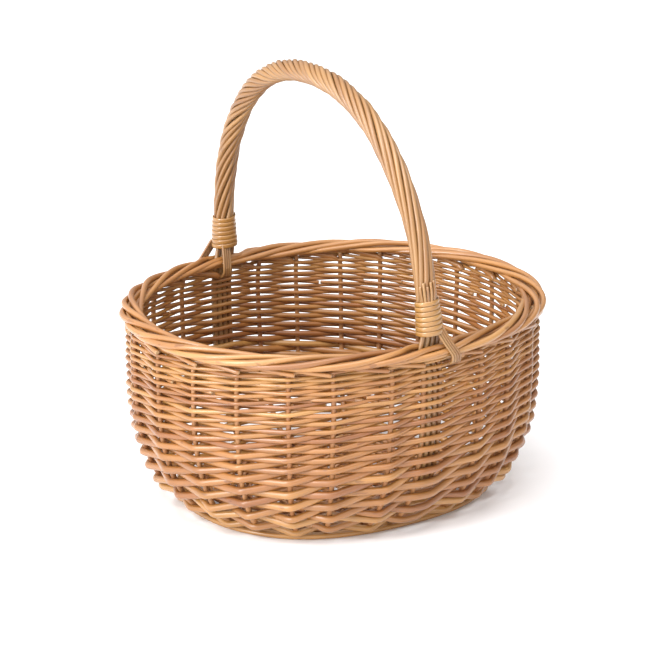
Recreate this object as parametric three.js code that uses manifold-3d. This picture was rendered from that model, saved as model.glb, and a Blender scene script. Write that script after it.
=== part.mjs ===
import * as THREE from 'three';
import { mergeVertices } from 'three/addons/utils/BufferGeometryUtils.js';
import Module from 'manifold-3d';

// Oval willow shopping basket with one fixed bow handle.
// Millimetres, +X along the length, +Y across it, +Z up, origin on the floor under the middle.

// Body: the oval of the rim and of the base, and the curve of the wall between them
const RIM_HALF_LENGTH = 198.5; // to the middle of the border
const RIM_HALF_WIDTH = 174.5;
const RIM_HEIGHT = 190;
const BASE_HALF_LENGTH = 148.5; // to the bend of the stakes
const BASE_HALF_WIDTH = 120.5;
const OVAL_POWER = 2.1; // 2 is an ellipse, more is squarer
const WALL_UPRIGHTNESS = 3.65; // more keeps the upper wall straight for longer
const WALL_ROUNDNESS = 1.31; // less makes the bottom rounder
const BORDER_OVERHANG = 0.5; // the border's middle stands this far outside the wall's

// Rods of the body
const STAKE_COUNT = 26;
const STAKE_SHIFTS = [ // from even places, in stake spaces, from the right end round by the back
  0.2, 0.24, 0.15, 0.06, -0.07, -0.06, -0.15, 0, -0.05, 0, -0.1, -0.15, -0.2,
  0, 0.08, 0.11, 0.18, 0.07, 0.28, 0, 0.5, 0.43, 0.45, 0.4, 0.3, 0.18,
];
const STAKE_RADIUS = 2.6;
const STAKE_STEPS = 8; // straight steps round the bend and up the wall
const STAKE_STEP_POWER = 0.77; // below 1, the steps grow shorter towards the rim
const STAKE_SIDES = 4;
const WEAVER_HALF_WIDTH = 2.2; // across the wall
const WEAVER_PITCH = 6; // mean height of one row, along the wall
const WEAVER_TAPER = 0.45; // height of the top row over that of the bottom row
const TIP_SHARE = 0.3; // a weaver starts and ends at this share of its height
const WALE_RADIUS = 2.8;
const WALE_INNER_CLIMB = 6; // where a wale rod passes behind a stake, along the wall
const WALE_RISE = 0.7; // its outer stroke lies this much of a rod's pitch higher
const WALE_FLOOR_OUT = 1.2; // its strokes on the floor lie this many pitches outside the base
const WALE_FLOOR_IN = 0.1;
const WALE_END_GAP = 0.04; // share of a stake space left open between a rod's ends
const CLEARANCE = 0.35; // between rods that touch
const ROD_SIDES = 5; // of a thick round rod
const FLAT_ROD_SIDES = 4; // of a weaver or a stick

// Border
const BORDER_RODS = 6;
const BORDER_ROD_RADIUS = 2.85;
const BORDER_FLAT = 11; // straight part of the roll, across the rim
const BORDER_TURN_RADIUS = 3.7; // rounded ends of the roll
const BORDER_STEPS = 20; // stations on each side of the handle
const ROLL_TURNS = 1.5; // on each side of the handle
const PASSAGE_ROOM = 1.3; // beside the bow rods where the border parts
const SPREAD_STATIONS = 1.6; // the parted rods close up again over this many stations

// Base
const SHORT_STICKS = 8;
const SHORT_STICK_PITCH = 16;
const LONG_STICKS = 3;
const LONG_STICK_PITCH = 8;
const LONG_STICK_FAN = 1.5; // stake spaces between the ends of the long sticks
const STICK_RADIUS = 2.6; // the long sticks pass through slits in the short ones, so they are thinner
const LONG_STICK_RADIUS = 2.2;
const SLATH_MARGIN = 10; // woven from this far outside the crossing
const BASE_WEAVER_HALF_THICKNESS = 1.6;
const BASE_ROWS = 10;
const BASE_ROW_FILL = 0.84; // share of the row pitch that a rod takes

// Handle
const HANDLE_HEIGHT = 417.7; // to the middle of the handle's section
const ARCH_X = -10.2; // the feet of the arch, at the rim
const ARCH_HALF_SPAN = 173.5;
const ARCH_SHOULDER = 2.24; // squareness of the arch, upwards and sideways
const ARCH_SPREAD = 2.18;
const ARCH_LEAN = 2.3; // degrees, towards -X
const ARCH_LEAN_BACK = 2.35; // degrees, towards +Y
const ARCH_FOOT = 14; // the roping and the bindings can begin this far above the rim
const FRONT_LEG_STAKE = 19;
const BACK_LEG_STAKE = 7;
const LEG_DEPTHS = [124, 92, 57, 27]; // stations of the bow rods, down the wall from its top
const LEG_RIM_OFFSET = -0.4; // where they pass through the border
const LEG_RIM_DROP = 2;
const BOW_ROD_RADIUS = 2.4;
const LEG_PITCH = 6.05; // between the bow rods where they stand in the wall
const ROPE_RODS = 9;
const ROPE_ROD_RADIUS = 2.6;
const ROPE_END = 18; // the roping ends this far up the arch, under the binding
const ROPE_TURNS = 1.5;
const ROPE_STEPS = 24;
const ROPE_STEP_POWER = 0.7; // below 1, the steps grow shorter towards the back
const ROPE_STEEPENING = 2; // power: almost straight at the front, slanting at the back
const BOW_STEPS = 16;

// Bindings of flat cane and ties
const BINDING_TURNS = 8;
const BINDING_HEIGHT = 35;
const BINDING_GAP = 0.7; // between two turns, along the handle's middle line
const BINDING_THICKNESS = 1.2;
const BINDING_STEPS = 12; // stations in one turn
const BINDING_CLEARANCE = 0.95; // the roping's straight steps bulge into it where the arch bends
const TIE_RODS = 4;
const TIE_ROD_RADIUS = 1.35;
const TIE_SLACK = 0.65; // the tie's straight steps cut across the round of the border
const TIE_GROOVE = 0.3; // height of the grooves between its rods, in rod radii
const TIE_CROWN = 0.2; // half width of a rod's flat crown, in rod pitches
const OUTER_TIE = [12, 26]; // along the rim from the leg: where a tie starts and where it is tucked in
const INNER_TIE = [-2, 0];

// Colours
const COLOURS = {
  stake: 0x9c6a3c,
  weaver: 0xc08a4e,
  wale: 0xb57a42,
  border: 0xcf9a5c,
  base: 0xa87848,
  rope: 0xd6a468,
  binding: 0xe0b878,
};

const TURN = 2 * Math.PI;
const UP = new THREE.Vector3(0, 0, 1);
const ALONG_X = new THREE.Vector3(1, 0, 0);
const ANGLE_STEP = 0.01; // for the direction along an oval

const signedPower = (value, power) => Math.sign(value) * Math.abs(value) ** power;
const mix = (from, to, share) => from + (to - from) * share;

// A rod or strap through rings of points; each ring turns anticlockwise about the way it travels
function loft(rings, closed = false) {
  const sides = rings[0].length;
  const index = [];
  const last = closed ? rings.length : rings.length - 1;
  for (let i = 0; i < last; i += 1) {
    const here = i * sides;
    const next = ((i + 1) % rings.length) * sides;
    for (let j = 0; j < sides; j += 1) {
      const k = (j + 1) % sides;
      index.push(here + j, here + k, next + k, here + j, next + k, next + j);
    }
  }
  if (!closed) {
    const end = (rings.length - 1) * sides;
    for (const [a, b, c] of capTriangles(rings[0])) {
      index.push(a, c, b);
    }
    for (const [a, b, c] of capTriangles(rings[rings.length - 1])) {
      index.push(end + a, end + b, end + c);
    }
  }
  const geometry = new THREE.BufferGeometry();
  geometry.setFromPoints(rings.flat());
  geometry.setIndex(index);
  return geometry;
}

// Triangles that close one ring, worked out in the ring's own plane
function capTriangles(ring) {
  const centre = new THREE.Vector3();
  ring.forEach((point) => centre.addScaledVector(point, 1 / ring.length));
  const normal = new THREE.Vector3();
  ring.forEach((point, j) => {
    const next = ring[(j + 1) % ring.length];
    normal.add(point.clone().sub(centre).cross(next.clone().sub(centre)));
  });
  normal.normalize();
  const right = ring[0].clone().sub(centre).normalize();
  const top = normal.clone().cross(right);
  const flat = ring.map((point) => {
    const arm = point.clone().sub(centre);
    return new THREE.Vector2(arm.dot(right), arm.dot(top));
  });
  return THREE.ShapeUtils.triangulateShape(flat, []);
}

// Evenly spaced points round a rod: two half sizes, then the directions that they lie along
function ring(centre, halfUp, halfOut, up, out, sides) {
  return Array.from({ length: sides }, (_, j) => {
    const angle = (TURN * j) / sides;
    return centre
      .clone()
      .addScaledVector(up, halfUp * Math.cos(angle))
      .addScaledVector(out, halfOut * Math.sin(angle));
  });
}

// A round rod along a list of points, with its section squared to the path and to a side direction
function rodAlong(points, radius, side, sides) {
  const rings = points.map((point, i) => {
    const before = points[Math.max(i - 1, 0)];
    const after = points[Math.min(i + 1, points.length - 1)];
    const travel = after.clone().sub(before).normalize();
    const out = side.clone().addScaledVector(travel, -side.dot(travel)).normalize();
    const up = out.clone().cross(travel);
    return ring(point, radius, radius, up, out, sides);
  });
  return loft(rings);
}

// Oval plan: the angle of each place round it, with places spaced evenly along the rim
function ovalPoint(angle, halfLength, halfWidth) {
  const power = 2 / OVAL_POWER;
  return new THREE.Vector2(
    halfLength * signedPower(Math.cos(angle), power),
    halfWidth * signedPower(Math.sin(angle), power),
  );
}

const WALL_HALF_LENGTH = RIM_HALF_LENGTH - BORDER_OVERHANG;
const WALL_HALF_WIDTH = RIM_HALF_WIDTH - BORDER_OVERHANG;
const OVAL_SAMPLES = 1440;
const ovalLengths = [0];
for (let i = 1; i <= OVAL_SAMPLES; i += 1) {
  const a = ovalPoint((TURN * (i - 1)) / OVAL_SAMPLES, WALL_HALF_LENGTH, WALL_HALF_WIDTH);
  const b = ovalPoint((TURN * i) / OVAL_SAMPLES, WALL_HALF_LENGTH, WALL_HALF_WIDTH);
  ovalLengths.push(ovalLengths[i - 1] + a.distanceTo(b));
}
const WALL_GIRTH = ovalLengths[OVAL_SAMPLES];
const STAKE_SPACING = WALL_GIRTH / STAKE_COUNT;

// Where a length lies in a rising list, as a number of list steps
function placeIn(list, length) {
  let low = 0;
  let high = list.length - 1;
  while (high - low > 1) {
    const middle = Math.floor((low + high) / 2);
    if (list[middle] > length) {
      high = middle;
    } else {
      low = middle;
    }
  }
  return low + (length - list[low]) / (list[high] - list[low]);
}

// Angle of a stake; a number between two stakes is a place between them
function stakeAngle(stake) {
  const turns = stake / STAKE_COUNT;
  const whole = Math.floor(turns);
  return TURN * (whole + placeIn(ovalLengths, (turns - whole) * WALL_GIRTH) / OVAL_SAMPLES);
}

// Where each stake stands, or a place between two of them
function stakeAt(stake) {
  const before = Math.floor(stake);
  const shift = (number) => STAKE_SHIFTS[(number + STAKE_COUNT) % STAKE_COUNT];
  return stake + mix(shift(before), shift(before + 1), stake - before);
}

// The level of the base follows from the rods that lie under the bent stakes
const FOOT_LEVEL = WALE_RADIUS * Math.cos(TURN / 2 / ROD_SIDES);
const BASE_LEVEL = FOOT_LEVEL + WALE_RADIUS + CLEARANCE + STAKE_RADIUS;

// Wall curve: level and spread of the middle of the wall, from the base edge up to the rim
function wallCurve(angle) {
  return {
    spread: Math.sin(angle) ** (2 / WALL_ROUNDNESS),
    level: 1 - Math.cos(angle) ** (2 / WALL_UPRIGHTNESS),
  };
}

const CURVE_SAMPLES = 400;
const MEAN_SPREAD = (WALL_HALF_LENGTH - BASE_HALF_LENGTH + WALL_HALF_WIDTH - BASE_HALF_WIDTH) / 2;
const curveLengths = [0];
for (let i = 1; i <= CURVE_SAMPLES; i += 1) {
  const a = wallCurve((TURN / 4) * ((i - 1) / CURVE_SAMPLES));
  const b = wallCurve((TURN / 4) * (i / CURVE_SAMPLES));
  const across = (b.spread - a.spread) * MEAN_SPREAD;
  const rise = (b.level - a.level) * (RIM_HEIGHT - BASE_LEVEL);
  curveLengths.push(curveLengths[i - 1] + Math.hypot(across, rise));
}
const WALL_CLIMB = curveLengths[CURVE_SAMPLES];

function wallMiddle(angle, climb) {
  const inside = Math.min(Math.max(climb, 0), WALL_CLIMB);
  const { spread, level } = wallCurve((TURN / 4) * (placeIn(curveLengths, inside) / CURVE_SAMPLES));
  const halfLength = mix(BASE_HALF_LENGTH, WALL_HALF_LENGTH, spread);
  const halfWidth = mix(BASE_HALF_WIDTH, WALL_HALF_WIDTH, spread);
  const plan = ovalPoint(angle, halfLength, halfWidth);
  return new THREE.Vector3(plan.x, plan.y, mix(BASE_LEVEL, RIM_HEIGHT, level));
}

// Place on the wall: stake number, way up along the wall, and distance outside its middle
function wallPlace(stake, climb, offset) {
  const angle = stakeAngle(stake);
  const middle = wallMiddle(angle, climb);
  const along = wallMiddle(angle + ANGLE_STEP, climb).sub(wallMiddle(angle - ANGLE_STEP, climb));
  const up = wallMiddle(angle, climb + 1).sub(wallMiddle(angle, climb - 1)).normalize();
  const out = along.cross(up).normalize();
  return { centre: middle.addScaledVector(out, offset), up, out };
}

// Place beside the rim: distance outside its middle line, and level
function rimPlace(stake, offset, level) {
  const angle = stakeAngle(stake);
  const plan = ovalPoint(angle, RIM_HALF_LENGTH, RIM_HALF_WIDTH);
  const next = ovalPoint(angle + ANGLE_STEP, RIM_HALF_LENGTH, RIM_HALF_WIDTH);
  const ahead = next.sub(plan).normalize();
  const out = new THREE.Vector3(ahead.y, -ahead.x, 0);
  const centre = new THREE.Vector3(plan.x, plan.y, level).addScaledVector(out, offset);
  return { centre, out };
}

// Parts list
const basket = new THREE.Group();

function addPart(name, geometry, colour) {
  const material = new THREE.MeshStandardMaterial({ color: colour, roughness: 0.5, metalness: 0 });
  const mesh = new THREE.Mesh(geometry, material);
  mesh.name = name;
  basket.add(mesh);
}

const twoDigits = (number) => String(number).padStart(2, '0');

// Stakes: from the edge of the base round its bend and up the wall to the border
const BORDER_HALF_HEIGHT = BORDER_TURN_RADIUS + BORDER_ROD_RADIUS;
const WALL_TOP_CLIMB = WALL_CLIMB - BORDER_HALF_HEIGHT - CLEARANCE;

function stakeGeometry(stake) {
  const rings = [];
  for (let step = 0; step <= STAKE_STEPS; step += 1) {
    const share = (step / STAKE_STEPS) ** STAKE_STEP_POWER;
    const bend = curveLengths[Math.round(CURVE_SAMPLES * share)];
    const { centre, up, out } = wallPlace(stakeAt(stake), Math.min(bend, WALL_TOP_CLIMB), 0);
    const side = up.clone().cross(out);
    rings.push(ring(centre, STAKE_RADIUS, STAKE_RADIUS, out, side, STAKE_SIDES));
  }
  return loft(rings);
}

for (let stake = 0; stake < STAKE_COUNT; stake += 1) {
  addPart(`stake_${twoDigits(stake + 1)}`, stakeGeometry(stake), COLOURS.stake);
}

// Stations of the wall weave: one at each stake, two where bow rods stand beside it
const LEG_STEP = LEG_PITCH / STAKE_SPACING;
const LEG_ROW = 3 * LEG_STEP;
const wallStations = [];
for (let stake = 0; stake < STAKE_COUNT; stake += 1) {
  if (stake === BACK_LEG_STAKE) {
    wallStations.push({ at: stake - LEG_ROW, stake });
  }
  wallStations.push({ at: stakeAt(stake), stake });
  if (stake === FRONT_LEG_STAKE) {
    wallStations.push({ at: stake + LEG_ROW, stake });
  }
}

const STEEPNESS_ALLOWANCE = 1.12; // a rod that crosses the weave on a slant takes this much more room

// Wale: four rods laid round the foot, each in turn outside, on the floor twice, and inside
const WALE_OFFSET = (STAKE_RADIUS + WALE_RADIUS) * STEEPNESS_ALLOWANCE + CLEARANCE;
const WALE_STEP = 2 * WALE_RADIUS + CLEARANCE;
const WALE_OUTER_CLIMB = WALE_INNER_CLIMB + WALE_STEP * WALE_RISE;
const WALE_RODS = 4;

function waleCentre(at, stage) {
  if (stage === 0) {
    return wallPlace(at, WALE_OUTER_CLIMB, WALE_OFFSET).centre;
  }
  if (stage === 3) {
    return wallPlace(at, WALE_INNER_CLIMB, -WALE_OFFSET).centre;
  }
  const offset = WALE_STEP * (stage === 1 ? WALE_FLOOR_OUT : WALE_FLOOR_IN);
  const plan = ovalPoint(stakeAngle(at), BASE_HALF_LENGTH + offset, BASE_HALF_WIDTH + offset);
  return new THREE.Vector3(plan.x, plan.y, FOOT_LEVEL);
}

function waleGeometry(rod) {
  const rings = [];
  for (let stake = 0; stake <= STAKE_COUNT; stake += 1) {
    const stage = (stake + rod) % WALE_RODS;
    const at = stakeAt(stake) - (stake === STAKE_COUNT ? WALE_END_GAP : 0);
    const centre = waleCentre(at, stage);
    const { out } = rimPlace(at, 0, 0);
    rings.push(ring(centre, WALE_RADIUS, WALE_RADIUS, UP, out, ROD_SIDES));
  }
  return loft(rings);
}

for (let rod = 0; rod < WALE_RODS; rod += 1) {
  addPart(`foot_wale_rod_${rod + 1}`, waleGeometry(rod), COLOURS.wale);
}

// Wall weave: two rods chase each other round, one in front of the stakes that the other is behind
const WEAVE_START = WALE_OUTER_CLIMB + WALE_RADIUS + CLEARANCE;
const WEAVE_END = WALL_CLIMB - BORDER_HALF_HEIGHT - CLEARANCE;
const WALL_ROWS = 2 * Math.round((WEAVE_END - WEAVE_START) / WEAVER_PITCH / 2);
const WEAVE_OFFSET = (STAKE_RADIUS + WEAVER_HALF_WIDTH) * STEEPNESS_ALLOWANCE + CLEARANCE;

function rowClimb(row) {
  const bottomPitch = (2 * (WEAVE_END - WEAVE_START)) / WALL_ROWS / (1 + WEAVER_TAPER);
  const thinning = (bottomPitch * (1 - WEAVER_TAPER)) / WALL_ROWS;
  return WEAVE_START + bottomPitch * row - (thinning * row * row) / 2;
}

// The rings of one weaver between two row numbers; a row's tips thin out at the first and last row
function chaser(stations, phase, firstRow, lastRow, rows, place) {
  const perTurn = stations.length;
  const start = Math.ceil(((firstRow - phase) * perTurn) / 2);
  const end = Math.floor(((lastRow - phase) * perTurn) / 2);
  const rings = [];
  for (let count = start; count <= end; count += 1) {
    const row = phase + (2 * count) / perTurn;
    const number = ((count % perTurn) + perTurn) % perTurn;
    const bottom = Math.min(Math.max(row, 0), rows);
    const top = Math.min(Math.max(row + 1, 0), rows);
    rings.push(place(stations[number], bottom, top));
  }
  return rings;
}

function wallWeaver(phase, firstRow, lastRow) {
  const place = (station, bottom, top) => {
    const side = (station.stake + phase) % 2 === 0 ? 1 : -1;
    const middle = (rowClimb(bottom) + rowClimb(top)) / 2;
    const halfHeight = (rowClimb(top) - rowClimb(bottom) - CLEARANCE) / 2;
    const { centre, up, out } = wallPlace(station.at, middle, side * WEAVE_OFFSET);
    return ring(centre, halfHeight, WEAVER_HALF_WIDTH, up, out, FLAT_ROD_SIDES);
  };
  return loft(chaser(wallStations, phase, firstRow, lastRow, WALL_ROWS, place));
}

const FIRST_TIP = TIP_SHARE - 1;
const JOINT = 2 / wallStations.length; // one station's share of a row pair
for (const phase of [0, 1]) {
  const middleRow = WALL_ROWS / 2;
  const lower = wallWeaver(phase, FIRST_TIP, middleRow);
  const upper = wallWeaver(phase, middleRow + JOINT, WALL_ROWS - TIP_SHARE);
  addPart(`wall_weaver_lower_${phase + 1}`, lower, COLOURS.weaver);
  addPart(`wall_weaver_upper_${phase + 1}`, upper, COLOURS.weaver);
}

// Border: rods rolled round each other, spread apart where the bow rods pass between them
const ROLL_LENGTH = 2 * BORDER_FLAT + TURN * BORDER_TURN_RADIUS;
const LEG_MIDDLE_STEP = 2 * LEG_STEP;
const FRONT_LEG = FRONT_LEG_STAKE + LEG_MIDDLE_STEP;
const BACK_LEG = BACK_LEG_STAKE - LEG_MIDDLE_STEP;
const PASSAGE_HALF = (LEG_PITCH + BOW_ROD_RADIUS + PASSAGE_ROOM) / STAKE_SPACING;
const ROD_BESIDE_LEG = BOW_ROD_RADIUS + CLEARANCE + BORDER_ROD_RADIUS;

// Place on the roll's outline: distance outside the rim's middle line, and level from it
function rollPlace(share) {
  const quarter = (TURN / 4) * BORDER_TURN_RADIUS;
  const way = (share - Math.floor(share)) * ROLL_LENGTH;
  const half = ROLL_LENGTH / 2;
  const mirrored = way > half;
  const run = mirrored ? way - half : way;
  const sign = mirrored ? -1 : 1;
  if (run < quarter) {
    const angle = run / BORDER_TURN_RADIUS;
    const across = BORDER_FLAT / 2 + BORDER_TURN_RADIUS * Math.cos(angle);
    return [sign * across, sign * BORDER_TURN_RADIUS * Math.sin(angle)];
  }
  if (run < quarter + BORDER_FLAT) {
    return [sign * (BORDER_FLAT / 2 - (run - quarter)), sign * BORDER_TURN_RADIUS];
  }
  const angle = (run - BORDER_FLAT) / BORDER_TURN_RADIUS;
  const across = -BORDER_FLAT / 2 + BORDER_TURN_RADIUS * Math.cos(angle);
  return [sign * across, sign * BORDER_TURN_RADIUS * Math.sin(angle)];
}

const NEAREST_AT_LEG = rollPlace(1 / BORDER_RODS)[0];
const LEG_SPREAD = Math.max(ROD_BESIDE_LEG - NEAREST_AT_LEG, 0);

function borderRod(rod) {
  const rings = [];
  const halves = [
    { from: BACK_LEG, to: FRONT_LEG, turns: 0 },
    { from: FRONT_LEG, to: BACK_LEG + STAKE_COUNT, turns: ROLL_TURNS },
  ];
  for (const half of halves) {
    for (let step = 0; step <= BORDER_STEPS; step += 1) {
      const share = step / BORDER_STEPS;
      const at = mix(half.from + PASSAGE_HALF, half.to - PASSAGE_HALF, share);
      const near = Math.max(1 - Math.min(step, BORDER_STEPS - step) / SPREAD_STATIONS, 0);
      const roll = rollPlace(rod / BORDER_RODS + half.turns + ROLL_TURNS * share);
      const offset = roll[0] + Math.sign(roll[0]) * LEG_SPREAD * near;
      const { centre, out } = rimPlace(at, offset, RIM_HEIGHT + roll[1]);
      rings.push(ring(centre, BORDER_ROD_RADIUS, BORDER_ROD_RADIUS, UP, out, ROD_SIDES));
    }
  }
  return loft(rings, true);
}

for (let rod = 0; rod < BORDER_RODS; rod += 1) {
  addPart(`border_rod_${rod + 1}`, borderRod(rod), COLOURS.border);
}

// Base sticks: straight where they cross, then opened out to their places on the edge
const SHORT_HALF = ((SHORT_STICKS - 1) / 2) * SHORT_STICK_PITCH;
const LONG_HALF = ((LONG_STICKS - 1) / 2) * LONG_STICK_PITCH;
const STICK_END = STAKE_RADIUS + CLEARANCE;
const FIRST_SHORT_STAKE = 3;

function stickEnd(stake) {
  const plan = ovalPoint(stakeAngle(stakeAt(stake)), BASE_HALF_LENGTH, BASE_HALF_WIDTH);
  const inward = plan.clone().normalize().multiplyScalar(STICK_END);
  const end = plan.sub(inward);
  return new THREE.Vector3(end.x, end.y, BASE_LEVEL);
}

const stickEnds = [];
const sticks = [];

// One stick, kept straight between its bends by a station just inside each
function addStick(start, startBend, endBend, end, radius) {
  const inset = endBend.clone().sub(startBend).setLength(SLATH_MARGIN / 2);
  const straight = [startBend.clone().add(inset), endBend.clone().sub(inset)];
  const points = [start, startBend, ...straight, endBend, end];
  sticks.push(rodAlong(points, radius, UP, FLAT_ROD_SIDES));
}

for (let number = 0; number < SHORT_STICKS; number += 1) {
  const x = number * SHORT_STICK_PITCH - SHORT_HALF;
  const backStake = FIRST_SHORT_STAKE + SHORT_STICKS - 1 - number;
  const frontStake = STAKE_COUNT / 2 + FIRST_SHORT_STAKE + number;
  const bend = LONG_HALF + SLATH_MARGIN;
  const frontBend = new THREE.Vector3(x, -bend, BASE_LEVEL);
  const backBend = new THREE.Vector3(x, bend, BASE_LEVEL);
  addStick(stickEnd(frontStake), frontBend, backBend, stickEnd(backStake), STICK_RADIUS);
  stickEnds.push({ stake: backStake, bend: backBend }, { stake: frontStake, bend: frontBend });
}
for (let number = 0; number < LONG_STICKS; number += 1) {
  const place = number - (LONG_STICKS - 1) / 2;
  const y = place * LONG_STICK_PITCH;
  const right = LONG_STICK_FAN * place;
  const left = STAKE_COUNT / 2 - right;
  const bend = SHORT_HALF + SLATH_MARGIN;
  const rightBend = new THREE.Vector3(bend, y, BASE_LEVEL);
  const leftBend = new THREE.Vector3(-bend, y, BASE_LEVEL);
  addStick(stickEnd(right), rightBend, leftBend, stickEnd(left), LONG_STICK_RADIUS);
  const rightPlace = (right + STAKE_COUNT) % STAKE_COUNT;
  stickEnds.push({ stake: rightPlace, bend: rightBend }, { stake: left, bend: leftBend });
}
stickEnds.sort((a, b) => a.stake - b.stake);

const wasm = await Module();
wasm.setup();

function toManifold(geometry) {
  const merged = mergeVertices(geometry);
  return new wasm.Manifold(
    new wasm.Mesh({
      numProp: 3,
      vertProperties: new Float32Array(merged.attributes.position.array),
      triVerts: new Uint32Array(merged.index.array),
    }),
  );
}

function toGeometry(solid) {
  const mesh = solid.getMesh();
  const geometry = new THREE.BufferGeometry();
  geometry.setAttribute('position', new THREE.BufferAttribute(mesh.vertProperties, 3));
  geometry.setIndex(new THREE.BufferAttribute(mesh.triVerts, 1));
  return geometry;
}

const slath = sticks.map(toManifold).reduce((joined, stick) => joined.add(stick));
addPart('base_sticks', toGeometry(slath), COLOURS.base);

// Base weave: two rods chase each other outwards, over one stick and under the next
const BASE_STEEPNESS = 1.24; // the base sticks stand closer than the stakes
const BASE_OFFSET = (STICK_RADIUS + BASE_WEAVER_HALF_THICKNESS) * BASE_STEEPNESS + CLEARANCE;

function baseWeaver(phase) {
  const place = (station, bottom, top) => {
    const number = stickEnds.indexOf(station);
    const side = (number + phase) % 2 === 0 ? 1 : -1;
    const end = stickEnd(station.stake);
    const stick = end.clone().sub(station.bend);
    const pitch = stick.length() / BASE_ROWS;
    const centre = station.bend.clone().addScaledVector(stick, (bottom + top) / 2 / BASE_ROWS);
    centre.addScaledVector(UP, side * BASE_OFFSET);
    const halfWidth = ((top - bottom) * pitch * BASE_ROW_FILL - CLEARANCE) / 2;
    const out = stick.normalize();
    return ring(centre, BASE_WEAVER_HALF_THICKNESS, halfWidth, UP, out, FLAT_ROD_SIDES);
  };
  return loft(chaser(stickEnds, phase, FIRST_TIP, BASE_ROWS - TIP_SHARE, BASE_ROWS, place));
}

for (const phase of [0, 1]) {
  addPart(`base_weaver_${phase + 1}`, baseWeaver(phase), COLOURS.base);
}

// Handle: the middle line of the arch, from one binding over the top to the other
const LEAN = Math.tan(THREE.MathUtils.degToRad(ARCH_LEAN));
const LEAN_BACK = Math.tan(THREE.MathUtils.degToRad(ARCH_LEAN_BACK));
const ARCH_RISE = HANDLE_HEIGHT - RIM_HEIGHT;
const ARCH_SAMPLES = 48;

function archPoint(angle) {
  const rise = ARCH_RISE * Math.cos(angle) ** (2 / ARCH_SHOULDER);
  const y = ARCH_HALF_SPAN * signedPower(Math.sin(angle), 2 / ARCH_SPREAD);
  return new THREE.Vector3(ARCH_X - LEAN * rise, y + LEAN_BACK * rise, RIM_HEIGHT + rise);
}

const ARCH_END_ANGLE = Math.acos((ARCH_FOOT / ARCH_RISE) ** (ARCH_SHOULDER / 2));
const archPoints = Array.from({ length: ARCH_SAMPLES + 1 }, (_, i) =>
  archPoint(mix(-ARCH_END_ANGLE, ARCH_END_ANGLE, i / ARCH_SAMPLES)),
);
const arch = new THREE.CatmullRomCurve3(archPoints);
const ARCH_LENGTH = arch.getLength();

// Place round the handle: way along the arch, distance from its middle line, and angle from +X
function archPlace(way, radius, angle) {
  const share = way / ARCH_LENGTH;
  const travel = arch.getTangentAt(share);
  const side = ALONG_X.clone().addScaledVector(travel, -travel.x).normalize();
  const over = travel.clone().cross(side);
  const out = side.clone().multiplyScalar(Math.cos(angle)).addScaledVector(over, Math.sin(angle));
  const centre = arch.getPointAt(share).addScaledVector(out, radius);
  return { centre, out, travel, side, over };
}

// Bow rods: side by side in the wall, drawn together into a triangle along the arch
const BOW_SPACING = 2 * BOW_ROD_RADIUS + CLEARANCE;
const GATHER = 20; // length of handle over which they draw together

function bowRod(place) {
  const standing = (2 + place) * LEG_STEP;
  const front = FRONT_LEG_STAKE + standing;
  const back = BACK_LEG_STAKE - standing;
  const points = LEG_DEPTHS.map((depth) => wallPlace(front, WALL_CLIMB - depth, 0).centre);
  points.push(rimPlace(front, LEG_RIM_OFFSET, RIM_HEIGHT - LEG_RIM_DROP).centre);
  const ways = [0, GATHER];
  for (let step = 1; step < BOW_STEPS; step += 1) {
    ways.push(mix(GATHER, ARCH_LENGTH - GATHER, step / BOW_STEPS));
  }
  ways.push(ARCH_LENGTH - GATHER, ARCH_LENGTH);
  for (const way of ways) {
    const gathered = Math.min(way, ARCH_LENGTH - way, GATHER) / GATHER;
    const spacing = mix(LEG_PITCH, BOW_SPACING, gathered);
    const fold = (gathered * TURN) / 6;
    const { centre, side, over } = archPlace(way, 0, 0);
    const rise = spacing * Math.sin(fold) * (place === 0 ? 2 / 3 : -1 / 3);
    centre.addScaledVector(side, place * spacing * Math.cos(fold));
    centre.addScaledVector(over, rise);
    points.push(centre);
  }
  points.push(rimPlace(back, LEG_RIM_OFFSET, RIM_HEIGHT - LEG_RIM_DROP).centre);
  for (const depth of LEG_DEPTHS.toReversed()) {
    points.push(wallPlace(back, WALL_CLIMB - depth, 0).centre);
  }
  return rodAlong(points, BOW_ROD_RADIUS, ALONG_X, ROD_SIDES);
}

for (const place of [-1, 0, 1]) {
  addPart(`handle_bow_rod_${place + 2}`, bowRod(place), COLOURS.rope);
}

// Roping: rods laid round the bow rods, almost straight at the front and steeper to the back
const CORE_RADIUS = BOW_SPACING / Math.sqrt(3) + BOW_ROD_RADIUS;
const ROPE_CENTRE_RADIUS = CORE_RADIUS + CLEARANCE + ROPE_ROD_RADIUS;

function ropeRod(number) {
  const rings = [];
  for (let step = 0; step <= ROPE_STEPS; step += 1) {
    const share = (step / ROPE_STEPS) ** ROPE_STEP_POWER;
    const way = mix(ROPE_END, ARCH_LENGTH - ROPE_END, share);
    const angle = TURN * (number / ROPE_RODS + ROPE_TURNS * share ** ROPE_STEEPENING);
    const { centre, out, travel } = archPlace(way, ROPE_CENTRE_RADIUS, angle);
    const across = travel.clone().cross(out);
    rings.push(ring(centre, ROPE_ROD_RADIUS, ROPE_ROD_RADIUS, out, across, ROD_SIDES));
  }
  return loft(rings);
}

for (let number = 0; number < ROPE_RODS; number += 1) {
  addPart(`handle_roping_rod_${number + 1}`, ropeRod(number), COLOURS.rope);
}

// Bindings: flat cane wound round the roping, one unbroken length each
const BINDING_PITCH = BINDING_HEIGHT / BINDING_TURNS;
const ROPE_OUTSIDE = ROPE_CENTRE_RADIUS + ROPE_ROD_RADIUS;
const BINDING_INSIDE = (ROPE_OUTSIDE + BINDING_CLEARANCE) / Math.cos(TURN / 2 / BINDING_STEPS);
const BINDING_RADIUS = BINDING_INSIDE + BINDING_THICKNESS / 2;
const BINDING_WIDTH = BINDING_PITCH - BINDING_GAP;

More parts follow.
